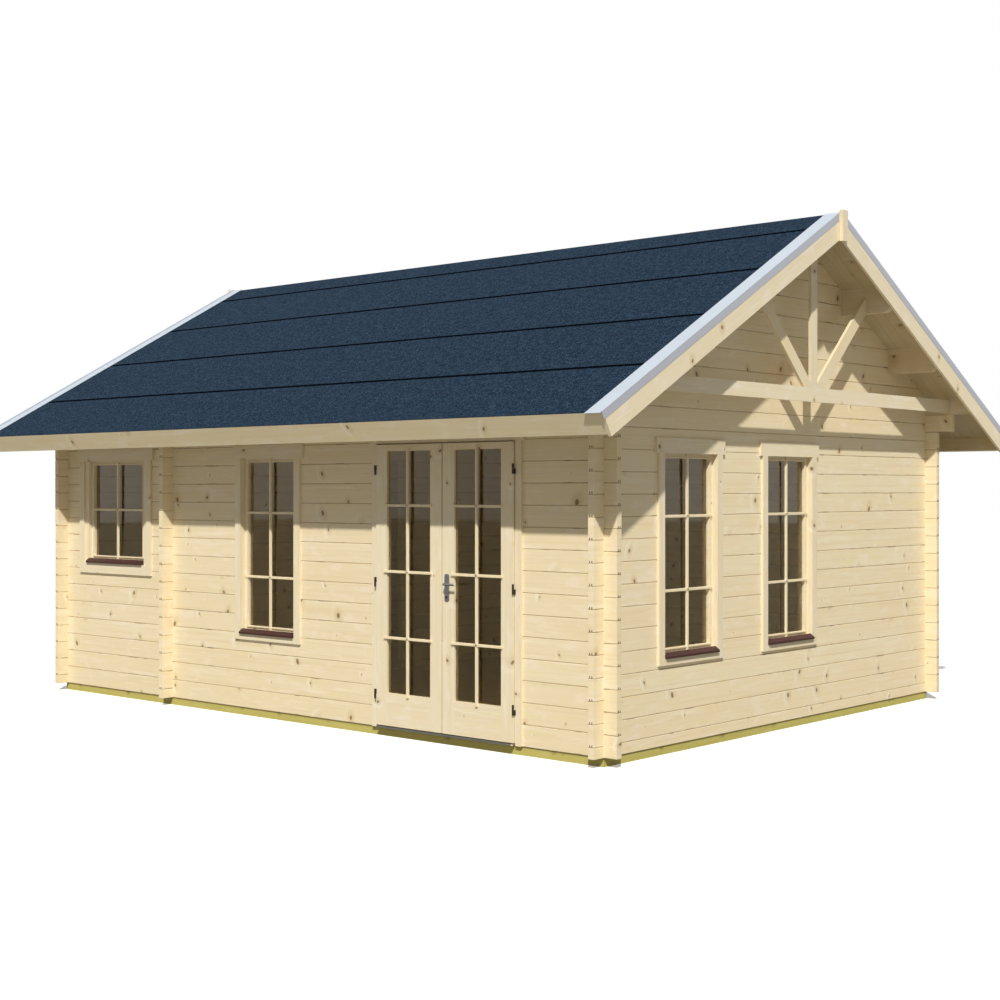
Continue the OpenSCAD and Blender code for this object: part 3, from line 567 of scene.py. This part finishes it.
# Brown base colour and warm specular tint: painted reflection over the dark rooms behind.
glass_shader.inputs["Base Color"].default_value = (0.68, 0.59, 0.40, 1)
glass_shader.inputs["Roughness"].default_value = 0.02
glass_shader.inputs["Transmission Weight"].default_value = 1.0
glass_shader.inputs["IOR"].default_value = 1.45
glass_shader.inputs["Specular IOR Level"].default_value = 0.18
glass_shader.inputs["Specular Tint"].default_value = (1.0, 0.92, 0.78, 1)
dress(["window_glass", "left_door_glass", "right_door_glass"], float_glass)


# Glazing bars and beads of the windows: slim spruce bars with bevelled faces, pinned before the glass.
# A cross of bars in the low window, one upright and two level bars in each tall one, a bead round each sash.
def bevelled_bars(spans, face, back, width, bevel):
    """Bars in a wall's own frame (x along it, y into it, z up). Each span is (x0, z0, x1, z1) along a bar's
    middle. The section is a trapezium: full width at y = back, narrower by bevel on each side at y = face."""
    points, faces = [], []
    for x0, z0, x1, z1 in spans:
        start, end = np.array([x0, 0.0, z0]), np.array([x1, 0.0, z1])
        run = (end - start) / np.linalg.norm(end - start)
        side = np.cross([0.0, 1.0, 0.0], run)
        half = np.array([width / 2, width / 2 - bevel, bevel - width / 2, -width / 2])
        depth = np.array([back, face, face, back])
        ring = half[:, None] * side + depth[:, None] * np.array([0.0, 1.0, 0.0])
        first = len(points)
        points += (start + ring).tolist() + (end + ring).tolist()
        faces += [[first + k, first + (k + 1) % 4, first + 4 + (k + 1) % 4, first + 4 + k] for k in range(4)]
        faces += [[first + k for k in (3, 2, 1, 0)], [first + 4 + k for k in range(4)]]
    return np.array(points), faces


def joined(first, second):
    """Points and faces of two shapes as one."""
    points = np.concatenate([first[0], second[0]])
    return points, first[1] + [[k + len(first[0]) for k in face] for face in second[1]]


bar_spruce = spruce("bar_spruce", (0.3, 0.3, 1), (1, 1, 0.2), 0.090, 0.01, 0.0, 0.1)
front_y, right_x = -half_d, half_l
bar_w, bar_bevel, bar_lap, bead_w, bead_bevel = 0.020, 0.003, 0.026, 0.011, 0.002
bar_face, bead_face, glass_face = 0.0145, 0.0175, 0.0279
tall_pane = (0.258, 0.616, 1.840, (0.985, 1.465))
low_pane = (0.337, 1.090, 1.840, (1.472,))
low_x, tall_x, first_y, second_y = 0.728 - right_x, -0.247, 0.917 + front_y, 2.147 + front_y
windows = [("low_front", low_x, low_pane, False), ("tall_front", tall_x, tall_pane, False),
           ("first_gable", first_y, tall_pane, True), ("second_gable", second_y, tall_pane, True)]
for label, middle, (half, z0, z1, levels), on_gable in windows:
    rim = bead_w / 2
    spans = [(0.0, z0 - bar_lap, 0.0, z1 + bar_lap)]
    spans += [(-half - bar_lap, z, half + bar_lap, z) for z in levels]
    around = [(edge * (half + rim), z0 - bead_w, edge * (half + rim), z1 + bead_w) for edge in (-1, 1)]
    around += [(-half, z, half, z) for z in (z0 - rim, z1 + rim)]
    bar_points, bar_faces = joined(bevelled_bars(spans, bar_face, glass_face, bar_w, bar_bevel),
                                   bevelled_bars(around, bead_face, glass_face, bead_w, bead_bevel))
    along, into, up = bar_points[:, 0], bar_points[:, 1], bar_points[:, 2] + log_base
    placed = [right_x - into, middle + along, up] if on_gable else [middle + along, front_y + into, up]
    facing_out(piece(label + "_window_bars", np.stack(placed, axis=1), bar_faces, bar_spruce,
                     "house"))


# Glazing bars of the door leaves: the same bars, one upright and three level ones in each leaf.
# They move with their leaf.
door_x, meet_half, leaf_half, pane_half, leaf_lap = 1.556, 0.005, 0.311, 0.206, 0.018
leaf_bar_face, leaf_glass_face = -0.0435, -0.0301
leaf_levels = (0.623, 1.077, 1.530)
leaf_z0, leaf_z1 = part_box("left_door_glass")[0][2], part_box("left_door_glass")[1][2]
for body, sign, label in (("left_door", -1, "left_leaf_bars"), ("right_door", 1, "right_leaf_bars")):
    middle, half = sign * (meet_half + leaf_half), pane_half + leaf_lap
    spans = [(middle, leaf_z0 - leaf_lap, middle, leaf_z1 + leaf_lap)]
    spans += [(middle - half, log_base + z, middle + half, log_base + z) for z in leaf_levels]
    bar_points, bar_faces = bevelled_bars(spans, leaf_bar_face, leaf_glass_face, bar_w, bar_bevel)
    placed = bar_points + np.array([door_x, front_y, 0.0])
    facing_out(piece(label, placed, bar_faces, bar_spruce, body))


# Threshold strip: a bent aluminium sheet screwed over the nose of the door's threshold.
# It covers the front edge and turns back over the top, under the closed leaves.
strip_tin = coat("threshold_aluminium", (0.17, 0.165, 0.150), (0.29, 0.285, 0.265), 1.0,
                 stretch=(6.0, 700.0, 700.0), Metallic=0.7, Roughness=0.45)
nose_y, nose_t, strip_back, strip_t, strip_in = front_y - 0.040, 0.010, 0.034, 0.0012, 0.002
nose_foot, nose_top, round_in = log_base + 0.001, log_base + nose_t, strip_t * 0.3
strip_section = np.array([[nose_y - strip_t, nose_foot], [nose_y, nose_foot], [nose_y, nose_top],
                          [nose_y + strip_back, nose_top], [nose_y + strip_back, nose_top + strip_t],
                          [nose_y - round_in, nose_top + strip_t], [nose_y - strip_t, nose_top + round_in]])
strip_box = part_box("door_frame_crosspieces")
strip_points, strip_faces = carried(strip_section, strip_box[0][0] + strip_in, strip_box[1][0] - strip_in)
facing_out(piece("threshold_strip", strip_points, strip_faces, strip_tin, "house"))


# Hinges: pressed steel with a dark brown paint, three to a leaf, with the plates screwed to casing and leaf.
# The paint is worn a little lighter in patches.
hinge_paint = coat("hinge_paint", (0.018, 0.013, 0.009), (0.050, 0.037, 0.025), 90.0,
                   Roughness=0.4, Metallic=0.4)
dress(["door_hinge_plates", "left_door_hinges", "right_door_hinges"], hinge_paint)


# Lock plate and lever of the right leaf: satin steel.
# A fine brushed grain runs up the plate.
def tube_faces(rings, count):
    """Faces of rings of count points each: point i of a ring is joined to point i + 1 and to the next ring,
    and the first and last rings are closed."""
    here = np.arange(count)
    after = (here + 1) % count
    quads = np.concatenate([np.stack([here, after, after + count, here + count], axis=1) + ring * count
                            for ring in range(rings - 1)])
    return quads.tolist() + [here[::-1].tolist(), ((rings - 1) * count + here).tolist()]


def rounded_plate(mid_x, mid_z, back_y, wide, high, thick, corner):
    """A plate with round corners standing off a face at y = back_y. Its outline is a rectangle less corner
    on each side, plus corner times the unit circle; rings of the outline at growing depth, drawn in towards
    the front, round the rim."""
    sides = 48
    turn = np.linspace(0.0, 2 * math.pi, sides, endpoint=False) + math.pi / sides
    circle = np.stack([np.cos(turn), np.sin(turn)], axis=1)
    straight = np.sign(circle) * np.array([wide / 2 - corner, high / 2 - corner])
    depth = np.array([0.0, thick - 0.0020, thick - 0.0006, thick, thick])
    radius = np.array([corner, corner, corner - 0.0008, corner - 0.0024])
    rings = straight[None] + radius[:, None, None] * circle[None]
    rings = np.concatenate([rings, (straight * 0.6 + 0.002 * circle)[None]])
    points = np.stack([mid_x + rings[..., 0], np.broadcast_to(back_y - depth[:, None], rings.shape[:2]),
                       mid_z + rings[..., 1]], axis=-1)
    return points.reshape(-1, 3), tube_faces(*rings.shape[:2])


def swept_rod(path, high, wide):
    """A rod along a path of points in a level plane. At each point the section is an ellipse, high up and
    down and wide across the path, both given for each point; the two ends are closed."""
    run = np.gradient(path, axis=0)
    run /= np.linalg.norm(run, axis=1, keepdims=True)
    across = np.cross(run, [0.0, 0.0, 1.0])
    turn = np.linspace(0.0, 2 * math.pi, 20, endpoint=False)
    rings = path[:, None] + np.cos(turn)[None, :, None] * (wide[:, None] * across)[:, None]
    rings = rings + np.sin(turn)[None, :, None] * high[:, None, None] * np.array([0.0, 0.0, 1.0])
    return rings.reshape(-1, 3), tube_faces(*rings.shape[:2])


satin_steel = coat("satin_steel", (0.25, 0.25, 0.255), (0.40, 0.40, 0.405), 1.0,
                   stretch=(900.0, 900.0, 20.0), Metallic=1.0, Roughness=0.32)
lock_x, face_y, lock_z = door_x + meet_half + 0.042, front_y - 0.030, log_base + 0.988
lock_w, lock_h, lock_t, corner_r = 0.040, 0.182, 0.007, 0.013
lever_z, lever_r, lever_l, lever_out, bend_r = lock_z + 0.024, 0.008, 0.105, 0.038, 0.012
neck_y, bar_y = face_y - lock_t + 0.001, face_y - lock_t - lever_out
quarter = np.linspace(0.0, math.pi / 2, 9)
lever_neck = np.stack([np.zeros(4), np.linspace(neck_y, bar_y + bend_r, 5)[:-1]], axis=1)
lever_bend = np.stack([bend_r - bend_r * np.cos(quarter), bar_y + bend_r - bend_r * np.sin(quarter)], axis=1)
lever_bar = np.stack([np.linspace(bend_r, lever_l, 15)[1:], np.full(14, bar_y)], axis=1)
lever_flat = np.concatenate([lever_neck, lever_bend, lever_bar])
lever_path = np.column_stack([lock_x + lever_flat[:, 0], lever_flat[:, 1], np.full(len(lever_flat), lever_z)])
reach = np.linspace(0.0, 1.0, len(lever_path))
tip_part, foot_part, foot_swell = 0.07, 0.06, 0.35
tip_run = np.clip((reach - (1.0 - tip_part)) / tip_part, 0.0, 1.0)
tip = np.sqrt(np.clip(1.0 - tip_run ** 2, 0.0025, 1.0))
foot = foot_swell * np.clip(1.0 - reach / foot_part, 0.0, 1.0)
lever = swept_rod(lever_path, lever_r * (0.90 + foot + 0.10 * reach) * tip,
                  lever_r * (0.92 + foot - 0.30 * reach) * tip)
plate = rounded_plate(lock_x, lock_z, face_y, lock_w, lock_h, lock_t, corner_r)
handle_points, handle_faces = joined(plate, lever)
handle = facing_out(piece("right_door_lever_set", handle_points, handle_faces, satin_steel, "right_door"))
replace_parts(handle, "right_door_handle")


# Lock cylinder: a turned barrel under the lever, dark as the hinges.
# It stands a little proud of the plate.
barrel_sides, barrel_z = 28, lock_z - 0.062
barrel_turn = np.linspace(0.0, 2 * math.pi, barrel_sides, endpoint=False)
barrel_r = np.array([0.0085, 0.0085, 0.0078, 0.0040, 0.0006])[:, None]
barrel_y = (face_y - lock_t + np.array([0.0005, -0.0018, -0.0026, -0.0027, -0.0027]))[:, None]
barrel_points = np.stack([lock_x + barrel_r * np.cos(barrel_turn),
                          np.broadcast_to(barrel_y, (len(barrel_y), barrel_sides)),
                          barrel_z + barrel_r * np.sin(barrel_turn)], axis=-1).reshape(-1, 3)
barrel_faces = tube_faces(len(barrel_y), barrel_sides)
facing_out(piece("right_door_lock_barrel", barrel_points, barrel_faces, hinge_paint, "right_door"))
